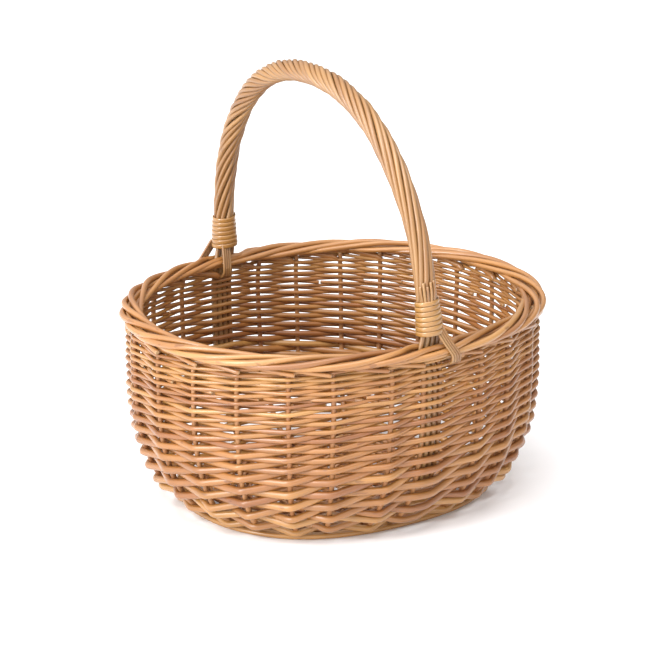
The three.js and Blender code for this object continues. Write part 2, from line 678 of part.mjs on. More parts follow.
function bindingRings(atFront) {
  const rings = [];
  const half = BINDING_WIDTH / 2;
  const steps = (BINDING_TURNS - 1) * BINDING_STEPS;
  for (let step = 0; step <= steps; step += 1) {
    const climb = half + (BINDING_PITCH * step) / BINDING_STEPS;
    const way = atFront ? climb : ARCH_LENGTH - climb;
    const angle = (TURN * step) / BINDING_STEPS * (atFront ? 1 : -1);
    const { centre, out, travel } = archPlace(way, BINDING_RADIUS, angle);
    const up = atFront ? travel : travel.negate();
    const corners = [[1, -1], [1, 1], [-1, 1], [-1, -1]];
    rings.push(corners.map(([rise, away]) => centre
      .clone()
      .addScaledVector(up, rise * half)
      .addScaledVector(out, (away * BINDING_THICKNESS) / 2)));
  }
  return rings;
}

function leastGap(rings) {
  let least = Infinity;
  for (let i = 0; i + BINDING_STEPS < rings.length; i += 1) {
    const below = rings[i];
    const above = rings[i + BINDING_STEPS];
    least = Math.min(least, below[0].distanceTo(above[3]), below[1].distanceTo(above[2]));
  }
  return least;
}

for (const [name, atFront] of [['front', true], ['back', false]]) {
  const rings = bindingRings(atFront);
  console.log(`${name} binding: least gap between turns ${leastGap(rings).toFixed(2)} mm`);
  addPart(`${name}_cane_binding`, loft(rings), COLOURS.binding);
}

// Ties: four thin rods side by side, from under a binding over the border, tucked in below it
const TIE_PITCH = 2 * TIE_ROD_RADIUS;
const TIE_CLEAR = BORDER_ROD_RADIUS + TIE_ROD_RADIUS + TIE_SLACK;

function tieGeometry(leg, along, outside) {
  const tip = BORDER_FLAT / 2 + BORDER_TURN_RADIUS + LEG_SPREAD;
  const side = outside ? 1 : -1;
  const route = [
    [0, 0.7 * tip, ARCH_FOOT - 2 * CLEARANCE],
    [0.35, tip, 1.6 * TIE_CLEAR],
    [0.7, tip + 0.8 * TIE_CLEAR, 0.75 * TIE_CLEAR],
    [0.85, tip + TIE_CLEAR, -0.1 * TIE_CLEAR],
    [1, tip + 0.7 * TIE_CLEAR, -1.2 * TIE_CLEAR],
    [1.05, tip - 0.4 * TIE_CLEAR, -2 * TIE_CLEAR],
  ];
  const points = route.map(([share, offset, rise]) => {
    const at = leg + mix(along[0], along[1], share) / STAKE_SPACING;
    return rimPlace(at, side * offset, RIM_HEIGHT + rise).centre;
  });
  const half = (TIE_RODS * TIE_PITCH) / 2;
  const crown = TIE_CROWN * TIE_PITCH;
  const outline = [];
  for (let i = 0; i < TIE_RODS; i += 1) {
    const middle = (i + 0.5) * TIE_PITCH - half;
    outline.push([middle - TIE_PITCH / 2, TIE_GROOVE], [middle - crown, 1], [middle + crown, 1]);
  }
  outline.push([half, TIE_GROOVE], [half, -1], [-half, -1]);
  const rings = points.map((point, i) => {
    const before = points[Math.max(i - 1, 0)];
    const after = points[Math.min(i + 1, points.length - 1)];
    const travel = after.clone().sub(before).normalize();
    const { out } = rimPlace(leg, 0, 0);
    const rim = UP.clone().cross(out);
    const across = rim.addScaledVector(travel, -rim.dot(travel)).normalize();
    const away = travel.clone().cross(across).multiplyScalar(-1);
    const facing = away.dot(out) * side + away.z >= 0 ? 1 : -1;
    const ringPoints = outline.map(([x, y]) => point
      .clone()
      .addScaledVector(across, x)
      .addScaledVector(away, facing * y * TIE_ROD_RADIUS));
    return facing > 0 ? ringPoints : ringPoints.reverse();
  });
  return loft(rings);
}

addPart('front_tie_outside', tieGeometry(FRONT_LEG, OUTER_TIE, true), COLOURS.rope);
addPart('back_tie_outside', tieGeometry(BACK_LEG, OUTER_TIE, true), COLOURS.rope);
addPart('back_tie_inside', tieGeometry(BACK_LEG, INNER_TIE, false), COLOURS.rope);

export default basket;
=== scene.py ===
import math

import bpy
import numpy as np
from mathutils import Matrix, Vector


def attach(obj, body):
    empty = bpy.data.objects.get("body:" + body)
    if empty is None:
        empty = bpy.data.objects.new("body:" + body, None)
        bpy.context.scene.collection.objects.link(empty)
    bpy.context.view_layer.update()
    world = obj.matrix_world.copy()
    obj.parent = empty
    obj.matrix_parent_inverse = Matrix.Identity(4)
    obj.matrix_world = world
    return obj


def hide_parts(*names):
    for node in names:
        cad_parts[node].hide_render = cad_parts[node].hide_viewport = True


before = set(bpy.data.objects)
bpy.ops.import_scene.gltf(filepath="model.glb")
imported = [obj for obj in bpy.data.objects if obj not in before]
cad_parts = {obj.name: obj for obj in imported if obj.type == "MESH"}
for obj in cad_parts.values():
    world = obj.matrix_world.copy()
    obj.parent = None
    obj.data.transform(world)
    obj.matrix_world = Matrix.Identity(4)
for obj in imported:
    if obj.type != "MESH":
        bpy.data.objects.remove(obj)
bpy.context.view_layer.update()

# Lengths are millimetres until a mesh is made
MM = 0.001
TURN = 2 * math.pi
UP = np.array([0.0, 0.0, 1.0])
random = np.random.default_rng(26)

# Seeds of the slow random waves along the rods
FOOT_SWAY_SEED = 70
FOOT_THICKNESS_SEED = 80
STAKE_SWAY_SEED = 100
STAKE_THICKNESS_SEED = 200
ROLL_SEED = 3000
ROPE_TURN_SEED = 4000
ROPE_RING_SEED = 4100
ROPE_THICKNESS_SEED = 4200
BINDING_SEED = 5000

# Camera
AZIMUTH = math.radians(-35.2)
ELEVATION = math.radians(18.1)
CAMERA_DISTANCE = 3.3333
CAMERA_LENS = 186.3
CAMERA_SENSOR = 36
CAMERA_X = -0.00196
CAMERA_HEIGHT = 0.1597
CAMERA_SHIFT_RIGHT = 0.00038

# Body
RIM_HALF_LENGTH = 198.5
RIM_HALF_WIDTH = 174.5
RIM_HEIGHT = 190
BASE_HALF_LENGTH = 147
BASE_HALF_WIDTH = 122
BASE_LEVEL = 8.0
OVAL_POWER = 2.1  # an ellipse has 2, and a squarer oval more
BASE_POWER = 2.35
WALL_BULGE = 3.2  # by which the wall is fuller between base and rim
BULGE_START = 30  # climb over which the bulge grows
BULGE_END = 25  # and over which it goes again below the rim
WALL_UPRIGHTNESS = 3.65
WALL_ROUNDNESS = 1.31
BORDER_OVERHANG = 0.5
STAKE_COUNT = 26
STAKE_RADIUS = 2.5
FRONT_LEG_STAKE = 19
BACK_LEG_STAKE = 7
STAKE_SHIFTS = [
    0.2, 0.24, 0.15, 0.06, -0.07, -0.06, -0.15, 0, -0.05, 0, -0.1, -0.15, -0.2,
    0, 0.08, 0.11, 0.18, 0.07, 0.28, 0, 0.5, 0.43, 0.45, 0.4, 0.3, 0.18,
]

# Handle
HANDLE_HEIGHT = 417.7
ARCH_X = -10.2
ARCH_HALF_SPAN = 173.5
ARCH_SHOULDER = 2.24
ARCH_SPREAD = 2.18
ARCH_LEAN = math.tan(math.radians(2.3))
ARCH_LEAN_BACK = math.tan(math.radians(2.35))
ARCH_START = 204
FRONT_FOOT_SHIFT = -2.5
FOOT_SHIFT_START = 20  # way along the handle from which the shift fades
FOOT_SHIFT_LENGTH = 80
LEG_PITCH = 6.05


# Small helpers
def unit(vectors):
    return vectors / np.linalg.norm(vectors, axis=-1, keepdims=True)


def mix(low, high, share):
    return low + (high - low) * share


def smooth(share):
    share = np.clip(share, 0, 1)
    return share * share * (3 - 2 * share)


def same_shape(*values):
    """The values as arrays of numbers that all have one shape."""
    return np.broadcast_arrays(*(np.asarray(value, float) for value in values))


def spline(points, per_step):
    """A smooth curve through points, evenly divided between each two."""
    points = np.asarray(points, float)
    padded = np.concatenate([2 * points[:1] - points[1:2], points, 2 * points[-1:] - points[-2:-1]])
    share = np.linspace(0, 1, per_step, endpoint=False)[:, None]
    pieces = []
    for a, b, c, d in zip(padded[:-3], padded[1:-2], padded[2:-1], padded[3:]):
        pieces.append(0.5 * (2 * b + (c - a) * share + (2 * a - 5 * b + 4 * c - d) * share ** 2
                             + (3 * b - a - 3 * c + d) * share ** 3))
    return np.concatenate([*pieces, points[-1:]])


WAVE_STRETCHES = (1.0, 0.61, 1.73)
WAVE_SCALE = 2.2


def wobble(along, wavelength, seed):
    """A smooth random wave between about -1 and 1."""
    phases = np.random.default_rng(seed).uniform(0, TURN, len(WAVE_STRETCHES))
    waves = [np.sin(TURN * along / (wavelength * stretch) + phase)
             for stretch, phase in zip(WAVE_STRETCHES, phases)]
    return sum(waves) / WAVE_SCALE


# Oval plan and wall
OVAL_SAMPLES = 1441
CURVE_SAMPLES = 401
ANGLE_STEP = 0.01


def oval(angle, half_length, half_width, squareness=OVAL_POWER):
    x, y = np.cos(angle), np.sin(angle)
    power = 2 / squareness
    return np.stack([
        half_length * np.sign(x) * np.abs(x) ** power,
        half_width * np.sign(y) * np.abs(y) ** power,
    ], -1)


WALL_HALF_LENGTH = RIM_HALF_LENGTH - BORDER_OVERHANG
WALL_HALF_WIDTH = RIM_HALF_WIDTH - BORDER_OVERHANG
oval_angles = np.linspace(0, TURN, OVAL_SAMPLES)
oval_steps = np.diff(oval(oval_angles, WALL_HALF_LENGTH, WALL_HALF_WIDTH), axis=0)
oval_lengths = np.concatenate([[0], np.cumsum(np.linalg.norm(oval_steps, axis=1))])
STAKE_SPACING = oval_lengths[-1] / STAKE_COUNT


def stake_angle(stake):
    """Angle on the oval of a stake number, or of a place between two stakes."""
    turns = np.asarray(stake, float) / STAKE_COUNT
    whole = np.floor(turns)
    return TURN * whole + np.interp((turns - whole) * oval_lengths[-1], oval_lengths, oval_angles)


def stake_at(stake):
    """Where a stake stands, or a place between two of them, which aren't evenly spaced."""
    shifts = STAKE_SHIFTS + STAKE_SHIFTS[:1]
    return stake + np.interp(np.mod(stake, STAKE_COUNT), np.arange(STAKE_COUNT + 1), shifts)


curve_angles = np.linspace(0, TURN / 4, CURVE_SAMPLES)
curve_spread = np.sin(curve_angles) ** (2 / WALL_ROUNDNESS)
curve_level = 1 - np.clip(np.cos(curve_angles), 0, 1) ** (2 / WALL_UPRIGHTNESS)
MEAN_SPREAD = (WALL_HALF_LENGTH - BASE_HALF_LENGTH + WALL_HALF_WIDTH - BASE_HALF_WIDTH) / 2
curve_steps = np.hypot(np.diff(curve_spread) * MEAN_SPREAD,
                       np.diff(curve_level) * (RIM_HEIGHT - BASE_LEVEL))
curve_climbs = np.concatenate([[0], np.cumsum(curve_steps)])
WALL_CLIMB = curve_climbs[-1]


def wall_middle(angle, climb):
    """The wall's middle surface, by the angle on its oval and the climb from the base's edge."""
    inside = np.clip(climb, 0, WALL_CLIMB)
    spread = np.interp(inside, curve_climbs, curve_spread)
    level = np.interp(inside, curve_climbs, curve_level)
    bulge = WALL_BULGE * smooth(inside / BULGE_START) * smooth((WALL_CLIMB - inside) / BULGE_END)
    half_length = mix(BASE_HALF_LENGTH, WALL_HALF_LENGTH, spread) + bulge
    half_width = mix(BASE_HALF_WIDTH, WALL_HALF_WIDTH, spread) + bulge
    plan = oval(angle, half_length, half_width, mix(BASE_POWER, OVAL_POWER, spread))
    return np.concatenate([plan, mix(BASE_LEVEL, RIM_HEIGHT, level)[..., None]], -1)


def wall_place(stake, climb, offset):
    """Points on the wall and the direction out of it."""
    stake, climb, offset = same_shape(stake, climb, offset)
    angle = stake_angle(stake)
    along = wall_middle(angle + ANGLE_STEP, climb) - wall_middle(angle - ANGLE_STEP, climb)
    up = unit(wall_middle(angle, np.minimum(climb + 1, WALL_CLIMB)) - wall_middle(angle, climb - 1))
    out = unit(np.cross(along, up))
    return wall_middle(angle, climb) + out * offset[..., None], out


def rim_place(stake, offset, level):
    """Points beside the rim and the direction out of it."""
    stake, offset, level = same_shape(stake, offset, level)
    angle = stake_angle(stake)
    plan = oval(angle, RIM_HALF_LENGTH, RIM_HALF_WIDTH)
    ahead = unit(oval(angle + ANGLE_STEP, RIM_HALF_LENGTH, RIM_HALF_WIDTH) - plan)
    out = np.stack([ahead[..., 1], -ahead[..., 0], np.zeros(ahead.shape[:-1])], -1)
    points = np.concatenate([plan, level[..., None]], -1) + out * offset[..., None]
    return points, out


# Meshes of rods
END_SHARE = 0.72  # of a rod's radius, on the face of a cut end
GRAIN_LENGTH = 4000  # each rod takes its grain from a random place along this


class Rods:
    """Rods of one kind in one mesh, each with a tone of its own and a straightened grain."""

    def __init__(self):
        self.points, self.grain, self.tone, self.cut = [], [], [], []
        self.faces, self.flat = [], []
        self.count = 0

    def add(self, path, radius, side, sides=10, tone=None, thickness=1.0, tips=(0.3, 0.3), profile=None):
        """A rod along the path, with its profile's second axis towards the side."""
        path = np.asarray(path, float)
        steps = np.linalg.norm(np.diff(path, axis=0), axis=1)
        along = np.concatenate([[0], np.cumsum(steps)])
        radius = np.broadcast_to(np.asarray(radius, float), along.shape).copy()
        travel = unit(np.gradient(path, axis=0))
        side = np.broadcast_to(np.asarray(side, float), path.shape)
        out = unit(side - travel * (side * travel).sum(1, keepdims=True))
        up = np.cross(out, travel)
        # each cut end narrows over a short step
        first, last = tips
        path = np.concatenate([path[:1] - travel[:1] * radius[0] * first, path,
                               path[-1:] + travel[-1:] * radius[-1] * last])
        along = np.concatenate([[-radius[0] * first], along, [along[-1] + radius[-1] * last]])
        radius = np.concatenate([[radius[0] * END_SHARE], radius, [radius[-1] * END_SHARE]])
        out = np.concatenate([out[:1], out, out[-1:]])
        up = np.concatenate([up[:1], up, up[-1:]])
        if profile is None:
            angles = TURN * np.arange(sides) / sides
            profile = np.stack([np.cos(angles), np.sin(angles) * thickness], -1)
        sides = len(profile)
        local = radius[:, None, None] * profile[None]
        points = path[:, None] + local[..., :1] * up[:, None] + local[..., 1:] * out[:, None]
        rows = len(path)
        tone = random.uniform() if tone is None else tone
        along = along + random.uniform(0, GRAIN_LENGTH)
        grain = np.concatenate([local, np.broadcast_to(along[:, None, None], (rows, sides, 1))], -1)
        index = self.count + np.arange(rows * sides).reshape(rows, sides)
        following = np.roll(index, -1, axis=1)
        quads = np.stack([index[:-1], following[:-1], following[1:], index[1:]], -1).reshape(-1, 4)
        self.faces.extend(quads.tolist())
        self.flat.extend([False] * len(quads))
        self.faces.append(index[0, ::-1].tolist())
        self.faces.append(index[-1].tolist())
        self.flat.extend([True, True])
        self.points.append(points.reshape(-1, 3))
        self.grain.append(grain.reshape(-1, 3))
        self.tone.append(np.full(rows * sides, tone))
        cut = np.zeros((rows, sides))
        cut[0] = cut[-1] = 1
        self.cut.append(cut.reshape(-1))
        self.count += rows * sides

    def build(self, name, material, nodes):
        mesh = bpy.data.meshes.new(name)
        mesh.from_pydata((np.concatenate(self.points) * MM).tolist(), [], self.faces)
        mesh.polygons.foreach_set("use_smooth", [not flat for flat in self.flat])
        mesh.attributes.new("grain", "FLOAT_VECTOR", "POINT").data.foreach_set(
            "vector", (np.concatenate(self.grain) * MM).astype(np.float32).reshape(-1))
        for attribute, values in (("tone", self.tone), ("cut", self.cut)):
            mesh.attributes.new(attribute, "FLOAT", "POINT").data.foreach_set(
                "value", np.concatenate(values).astype(np.float32))
        mesh.materials.append(material)
        piece = bpy.data.objects.new(name, mesh)
        bpy.context.scene.collection.objects.link(piece)
        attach(piece, "root")
        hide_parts(*nodes)


# Materials
FIRST_COLOUR = 6  # sockets of a colour mix
SECOND_COLOUR = 7
MIXED_COLOUR = 2
PATCHES = [(0.3, (0.8, 0.72, 0.66)), (0.62, (1.12, 1.12, 1.12))]
PATCH_STRENGTH = 0.75
STREAKS = [(0.32, (0.7, 0.62, 0.55)), (0.62, (1.1, 1.1, 1.1))]
SCARS = [(0.71, (1, 1, 1)), (0.76, (0.42, 0.3, 0.22))]
CUT_COLOUR = (0.5, 0.33, 0.17, 1)
COAT_ROUGHNESS = 0.27
SHINE = 0.6
RELIEF_STRENGTH = 0.25
RELIEF_DEPTH = 0.0004


def node(tree, kind, **settings):
    made = tree.nodes.new(kind)
    for key, value in settings.items():
        setattr(made, key, value)
    return made


def ramp(tree, factor, stops):
    """A colour that runs from stop to stop with the factor."""
    made = node(tree, "ShaderNodeValToRGB")
    while len(made.color_ramp.elements) < len(stops):
        made.color_ramp.elements.new(0.5)
    for element, (place, colour) in zip(made.color_ramp.elements, stops):
        element.position = place
        element.color = (*colour, 1)
    tree.links.new(factor, made.inputs["Fac"])
    return made.outputs["Color"]


def blended(tree, factor, first, second, blend="MULTIPLY"):
    """Two colours blended, each of the three values a constant or another node's output."""
    made = node(tree, "ShaderNodeMix", data_type="RGBA", blend_type=blend)
    for socket, value in (("Factor", factor), (FIRST_COLOUR, first), (SECOND_COLOUR, second)):
        if isinstance(value, bpy.types.NodeSocket):
            tree.links.new(value, made.inputs[socket])
        else:
            made.inputs[socket].default_value = value
    return made.outputs[MIXED_COLOUR]


def wood(name, tones, roughness=0.44, coat=0.65, streak=0.3, spots=0.5):
    """Peeled willow: a tone for each rod, streaks along it, a few dark scars, paler cut ends."""
    material = bpy.data.materials.new(name)
    material.use_nodes = True
    tree = material.node_tree
    links = tree.links
    shader = tree.nodes["Principled BSDF"]
    tone = node(tree, "ShaderNodeAttribute", attribute_name="tone").outputs["Fac"]
    grain = node(tree, "ShaderNodeAttribute", attribute_name="grain").outputs["Vector"]
    cut = node(tree, "ShaderNodeAttribute", attribute_name="cut").outputs["Fac"]

    def noise(across, along, detail):
        mapping = node(tree, "ShaderNodeMapping")
        mapping.inputs["Scale"].default_value = (across, across, along)
        links.new(grain, mapping.inputs["Vector"])
        made = node(tree, "ShaderNodeTexNoise")
        made.inputs["Scale"].default_value = 1
        made.inputs["Detail"].default_value = detail
        links.new(mapping.outputs["Vector"], made.inputs["Vector"])
        return made.outputs["Fac"]

    count = len(tones)
    colour = ramp(tree, tone, [(i / (count - 1), shade) for i, shade in enumerate(tones)])
    patches = ramp(tree, noise(across=60, along=14, detail=2), PATCHES)
    colour = blended(tree, PATCH_STRENGTH, colour, patches)
    streaks = ramp(tree, noise(across=1500, along=45, detail=4), STREAKS)
    colour = blended(tree, streak, colour, streaks)
    scars = ramp(tree, noise(across=210, along=70, detail=1), SCARS)
    colour = blended(tree, spots, colour, scars)
    colour = blended(tree, cut, colour, CUT_COLOUR, "MIX")
    links.new(colour, shader.inputs["Base Color"])
    shader.inputs["Roughness"].default_value = roughness
    shader.inputs["Coat Weight"].default_value = coat
    shader.inputs["Coat Roughness"].default_value = COAT_ROUGHNESS
    shader.inputs["Specular IOR Level"].default_value = SHINE
    relief = node(tree, "ShaderNodeBump")
    relief.inputs["Strength"].default_value = RELIEF_STRENGTH
    relief.inputs["Distance"].default_value = RELIEF_DEPTH
    links.new(noise(across=1100, along=30, detail=3), relief.inputs["Height"])
    links.new(relief.outputs["Normal"], shader.inputs["Normal"])
    return material


def shades(*colours):
    """sRGB colours as linear ones."""
    return [tuple((channel / 255) ** 2.2 for channel in colour) for colour in colours]


WEAVER_TONES = shades((143, 91, 42), (158, 106, 53), (164, 115, 59),
                      (148, 96, 44), (170, 123, 65), (137, 84, 38))
BORDER_TONES = shades((152, 101, 54), (170, 120, 66), (160, 108, 58), (176, 129, 75), (143, 92, 47))
HANDLE_TONES = shades((141, 100, 57), (153, 113, 67), (134, 92, 52), (158, 121, 76))
STAKE_TONES = shades((154, 104, 64), (166, 119, 76), (144, 94, 57))
CANE_TONES = shades((160, 117, 60), (151, 106, 51))

weaver_wood = wood("willow_weaver", WEAVER_TONES)
border_wood = wood("willow_border", BORDER_TONES, streak=0.4)
handle_wood = wood("willow_handle", HANDLE_TONES, streak=0.35, spots=0.3)
stake_wood = wood("willow_stake", STAKE_TONES, coat=0.1)
cane = wood("split_cane", CANE_TONES, roughness=0.35, coat=0.9, streak=0.25, spots=0.1)

# Stakes
STAKE_END_BELOW_RIM = 6.0
STAKE_POINTS = 60
STAKE_SWAY = 0.012  # of the way to the next stake
STAKE_SWAY_LENGTH = 120
STAKE_UNEVENNESS = 0.04
STAKE_UNEVEN_LENGTH = 60
STAKE_FOOT_SHARE = 1.04
STAKE_TOP_SHARE = 0.95

stakes = Rods()
for stake in range(STAKE_COUNT):
    climb = np.linspace(0, WALL_CLIMB - STAKE_END_BELOW_RIM, STAKE_POINTS)
    sway = STAKE_SWAY * wobble(climb, STAKE_SWAY_LENGTH, STAKE_SWAY_SEED + stake)
    path, out = wall_place(stake_at(stake) + sway, climb, 0)
    uneven = 1 + STAKE_UNEVENNESS * wobble(climb, STAKE_UNEVEN_LENGTH, STAKE_THICKNESS_SEED + stake)
    taper = mix(STAKE_FOOT_SHARE, STAKE_TOP_SHARE, climb / WALL_CLIMB)
    stakes.add(path, STAKE_RADIUS * uneven * taper, out)
stakes.build("stakes", stake_wood, [f"stake_{n + 1:02d}" for n in range(STAKE_COUNT)])

# Weave: straight rods from stake to stake, bent where they pass in front of one or behind it
FIRST_ROW_CLIMB = 37.0
FIRST_PITCH = 8.8
THINNING = 0.0074
ROWS_BY_BAND = (24, 9)
THICKEST = 3.7  # radii of the rods
THINNEST = 1.9
RADIUS_SHARE = 0.57  # of the pitch of the rows
ROW_GAP = 0.1
LEG_STEP = LEG_PITCH / STAKE_SPACING
LEG_ROW = 3 * LEG_STEP
BEND = 5.0
LONGEST_BEND = 0.45  # of the way to the next corner
BEND_SHARES = (0.0, 0.3, 0.5, 0.7, 1.0)
BEND_EXTENT = 0.2
PRESSED_RADIUS = 0.7 * STAKE_RADIUS  # the stake is pressed a little into the rod
OFFSET_SPREAD = 0.3
CLIMB_SPREAD = 0.35
START_BEFORE = 0.5  # how far a rod reaches beyond its first and last stake, and on which side
START_SIDE = -0.8
END_BEYOND = 0.45
END_RISE = 0.4
END_SIDE = -0.3
TAPER_STAKES = 5
TIP_SHARE = 0.8
WEAVER_SIZES = (0.94, 1.05)  # shares of the row's radius
WEAVER_UNEVENNESS = 0.03
WEAVER_UNEVEN_STAKES = 2.3
WEAVER_FLATNESS = 0.94

stations = [(float(stake_at(stake)), stake) for stake in range(STAKE_COUNT)]
stations.append((BACK_LEG_STAKE - LEG_ROW, BACK_LEG_STAKE))
stations.append((FRONT_LEG_STAKE + LEG_ROW, FRONT_LEG_STAKE))
stations.sort()


def row_climb(row):
    return FIRST_ROW_CLIMB + np.log1p(THINNING * FIRST_PITCH * row) / THINNING


def row_thickness(row):
    """Radius of the rods in a row, whose pitch gets less with the height."""
    pitch = FIRST_PITCH / (1 + THINNING * FIRST_PITCH * row)
    return np.clip(RADIUS_SHARE * pitch - ROW_GAP, THINNEST, THICKEST)


def bent(corners, bend):
    """Straight lines between the corners, rounded over a short way at each."""
    corners = np.asarray(corners, float)
    points, places = [corners[0]], [0.0]
    for k in range(1, len(corners) - 1):
        before, after = corners[k - 1] - corners[k], corners[k + 1] - corners[k]
        start = corners[k] + before * min(LONGEST_BEND, bend / np.linalg.norm(before))
        end = corners[k] + after * min(LONGEST_BEND, bend / np.linalg.norm(after))
        for share in BEND_SHARES:
            left = 1 - share
            points.append(start * left ** 2 + corners[k] * 2 * share * left + end * share ** 2)
            places.append(k + BEND_EXTENT * (share - 0.5))
        points.append(corners[k] + after * 0.5)
        places.append(k + 0.5)
    return np.array([*points, corners[-1]]), np.array([*places, len(corners) - 1.0])


def weave(rods, first_stake, first_row, steps, rise):
    """A rod past a number of stakes, outside and inside in turn, a share of a row higher at each."""
    size = random.uniform(*WEAVER_SIZES)
    passed = []
    for step in range(steps):
        turn, stake = divmod(first_stake + step, STAKE_COUNT)
        side = 1 if step % 2 == 0 else -1
        for at, near in stations:
            if near == stake:
                passed.append((at + STAKE_COUNT * turn, first_row + step * rise, side))
    # both ends are tucked behind the wall
    first_at, lowest, _ = passed[0]
    last_at, highest, _ = passed[-1]
    passed.insert(0, (first_at - START_BEFORE, lowest - START_BEFORE * rise, START_SIDE))
    passed.append((last_at + END_BEYOND, highest + END_RISE * rise, END_SIDE))
    corners, outs = [], []
    for at, row, side in passed:
        thick = row_thickness(row) * size
        offset = side * (PRESSED_RADIUS + thick) + random.uniform(-OFFSET_SPREAD, OFFSET_SPREAD)
        climb = row_climb(row) + random.uniform(-CLIMB_SPREAD, CLIMB_SPREAD)
        corner, out = wall_place(at, climb, offset)
        corner[2] = max(corner[2], thick)
        corners.append(corner)
        outs.append(out)
    path, spots = bent(corners, BEND)
    numbers = np.arange(len(passed))
    rows = np.interp(spots, numbers, [row for at, row, side in passed])
    taper = mix(1.0, TIP_SHARE, smooth((spots - len(passed) + TAPER_STAKES) / TAPER_STAKES) * rise)
    uneven = 1 + WEAVER_UNEVENNESS * wobble(spots, WEAVER_UNEVEN_STAKES, random.integers(1 << 30))
    side = np.stack([np.interp(spots, numbers, np.array(outs)[:, i]) for i in range(3)], -1)
    rods.add(path, row_thickness(rows) * size * taper * uneven, side, thickness=WEAVER_FLATNESS)


# A rod starts behind each stake, and each climbs by a row from one stake to the next
weavers = Rods()
for band, rows in enumerate(ROWS_BY_BAND):
    for stake in range(STAKE_COUNT):
        weave(weavers, stake, sum(ROWS_BY_BAND[:band]), rows, 1)
weavers.build("wall_weavers", weaver_wood,
              [f"wall_weaver_{part}_{n}" for part in ("lower", "upper") for n in (1, 2)])

# Foot: smooth rods under the stakes' ends, one of them round the edge, and thick rows above them
FOOT_RADIUS = 2.6
FOOT_OUTS = (3.4, -1.8, -7.0)
FOOT_OVERLAP = 1.2  # in stakes, where a rod's ends lie on each other
FOOT_POINTS = 260
FOOT_SWAY = 0.3
FOOT_SWAY_STAKES = 6
FOOT_UNEVENNESS = 0.05
FOOT_UNEVEN_STAKES = 5
# the palest rod tone: painted light, paler to make up for the shade these rods sit in by the floor
FOOT_TONE_PAINTED_PALER = 0.8
FOOT_ROWS = 3
FOOT_FIRST_STAKE = 7
FOOT_STAKE_STEP = 5


def foot_place(at, out, level):
    plan = oval(stake_angle(at), BASE_HALF_LENGTH + out, BASE_HALF_WIDTH + out, BASE_POWER)
    return np.concatenate([plan, np.full((*np.shape(at), 1), float(level))], -1)


foot = Rods()
edge = np.linspace(0, STAKE_COUNT + FOOT_OVERLAP, FOOT_POINTS)
for number, out in enumerate(FOOT_OUTS):
    sway = FOOT_SWAY * wobble(edge, FOOT_SWAY_STAKES, FOOT_SWAY_SEED + number)
    uneven = 1 + FOOT_UNEVENNESS * wobble(edge, FOOT_UNEVEN_STAKES, FOOT_THICKNESS_SEED + number)
    side = rim_place(edge, 0, 0)[1]
    foot.add(foot_place(edge, out + sway, FOOT_RADIUS), FOOT_RADIUS * uneven, side, tone=FOOT_TONE_PAINTED_PALER)
for row in range(-FOOT_ROWS, 0):
    weave(foot, FOOT_FIRST_STAKE - FOOT_STAKE_STEP * row, row, STAKE_COUNT, 0)
foot.build("foot_wale", weaver_wood, [f"foot_wale_rod_{n}" for n in range(1, 5)])

# Border: two rods inside it that run all the way round
BORDER_CORE_OFFSET = 3.6
BORDER_CORE_DROP = 0.8
BORDER_CORE_RADIUS = 2.5
FRONT_LEG = FRONT_LEG_STAKE + 1.5 * LEG_STEP
BACK_LEG = BACK_LEG_STAKE - 1.5 * LEG_STEP
LEG_HALF = 2.2 * LEG_STEP
LEG_APPROACH = 0.5  # in stakes, over which the rods part
ROD_BESIDE_LEG = 5.9
RIM_POINTS = 313


def beside_legs(stake, offset):
    """Border rods part where the rods of the handle's legs stand between them."""
    for leg in (FRONT_LEG, BACK_LEG):
        away = (stake - leg + STAKE_COUNT / 2) % STAKE_COUNT - STAKE_COUNT / 2
        passes = away.min() < 0 < away.max()
        middle = np.interp(0, away, offset) if passes else offset[np.argmin(np.abs(away))]
        keep = 1 if middle >= 0 else -1
        near = smooth((LEG_HALF + LEG_APPROACH - np.abs(away)) / LEG_APPROACH)
        wanted = keep * np.maximum(keep * offset, ROD_BESIDE_LEG)
        offset = mix(offset, wanted, near)
    return offset


border = Rods()
round_rim = np.linspace(0, STAKE_COUNT, RIM_POINTS)
for offset in (-BORDER_CORE_OFFSET, BORDER_CORE_OFFSET):
    offsets = beside_legs(round_rim, np.full(RIM_POINTS, offset))
    path = rim_place(round_rim, offsets, RIM_HEIGHT - BORDER_CORE_DROP)[0]
    border.add(path, BORDER_CORE_RADIUS, rim_place(round_rim, 0, 0)[1])

# Rolled rods: each stake's end comes out below the rim, rolls over its outside and top and ends inside
BORDER_HALF_WIDTH = 9.2
BORDER_HALF_HEIGHT = 4.3
BORDER_RADIUS = 2.95
BORDER_SIZES = (0.9, 1.04)  # shares of that radius
BORDER_START_SHARE = 1.03
BORDER_END_SHARE = 0.87
BORDER_TAPER_POWER = 1.5
STEM_PLACES = np.array([0.02, 0.12, 0.4])  # up from the wall, before the roll
STEM_OFFSETS = [-1.6, -1.2, 0.0]
STEM_RISES = [-12.0, -9.0, -6.4]
ROLL_PLACES = np.array([0.8, 1.6, 2.4, 3.2, 4.0, 4.7, 5.4, 6.1])  # in stakes
ROLL_ANGLES = [-75, -38, 5, 62, 112, 148, 182, 222]
# it passes under the rods before it, over the rim's top and under the rods after it
ROLL_LIFTS = [-0.5, 0.1, 0.5, 0.9, 0.8, 0.3, -0.9, -3.2]
ROLL_PACES = (0.92, 1.08)  # shares of those places' distance
ROLL_POINTS = 56
ROLL_SMOOTHING = 4  # points to each side
ROLL_WAVE = 0.45
ROLL_WAVE_STAKES = 3.0
CUT_END_PLACES = np.array([-1.0, -0.7, -0.45, -0.2, 0.0])
CUT_END_OFFSETS = [0.0, 3.4, 5.6, 6.9, 7.6]
CUT_END_DROPS = np.array([-4.0, -5.4, -6.6, -8.2, -9.6])
CUT_END_REACHES = (-0.12, 0.2)  # past the stake
CUT_END_RISES = (-0.7, 0.6)
CUT_END_RADII = (2.0, 2.45)


